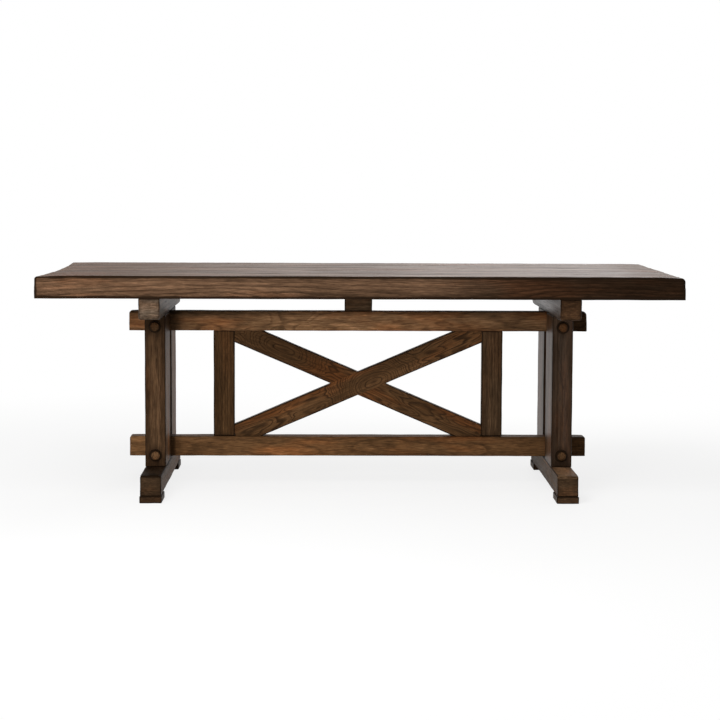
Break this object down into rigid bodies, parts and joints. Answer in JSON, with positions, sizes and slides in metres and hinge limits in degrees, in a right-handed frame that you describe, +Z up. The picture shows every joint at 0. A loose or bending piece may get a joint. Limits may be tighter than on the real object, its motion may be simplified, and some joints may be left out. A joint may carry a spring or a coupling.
{
  "type": "trestle dining table",
  "caption": "Rustic dark oak trestle dining table: thick plank top on post trestles with feet, pegged through rails and a cross brace between stiles.",
  "frame": {"origin": "on the floor under the middle of the table top", "axes": "+X along the table's length to the right of the picture, +Y from the front edge to the back edge, +Z up"},
  "size_m": [2.1429, 1, 0.762],
  "materials": {
    "oak_top": "dark brown oak, hand scraped, satin",
    "oak_frame": "dark brown oak, brushed grain, satin",
    "oak_peg": "dark brown oak end grain, satin",
    "inner_wood": "plain unstained hardwood",
    "screw_steel": "plain zinc grey steel"
  },
  "bodies": {
    "root": {"bearer_left": "oak_frame", "bearer_right": "oak_frame", "block_dowels": "inner_wood", "board_tongue_1": "inner_wood", "board_tongue_2": "inner_wood", "board_tongue_3": "inner_wood", "board_tongue_4": "inner_wood", "brace_dowels": "inner_wood", "brace_rising_left": "oak_frame", "brace_rising_right": "oak_frame", "centre_block": "oak_frame", "foot_left": "oak_frame", "foot_pad_left_back": "oak_frame", "foot_pad_left_front": "oak_frame", "foot_pad_right_back": "oak_frame", "foot_pad_right_front": "oak_frame", "foot_right": "oak_frame", "pad_screws": "screw_steel", "peg_left_lower": "oak_peg", "peg_left_upper": "oak_peg", "peg_right_lower": "oak_peg", "peg_right_upper": "oak_peg", "post_left_back": "oak_frame", "post_left_front": "oak_frame", "post_right_back": "oak_frame", "post_right_front": "oak_frame", "rail_lower": "oak_frame", "rail_upper": "oak_frame", "stile_left": "oak_frame", "stile_right": "oak_frame", "top_board_1": "oak_top", "top_board_2": "oak_top", "top_board_3": "oak_top", "top_board_4": "oak_top", "top_board_5": "oak_top", "top_screws": "screw_steel"}
  },
  "joints": []
}
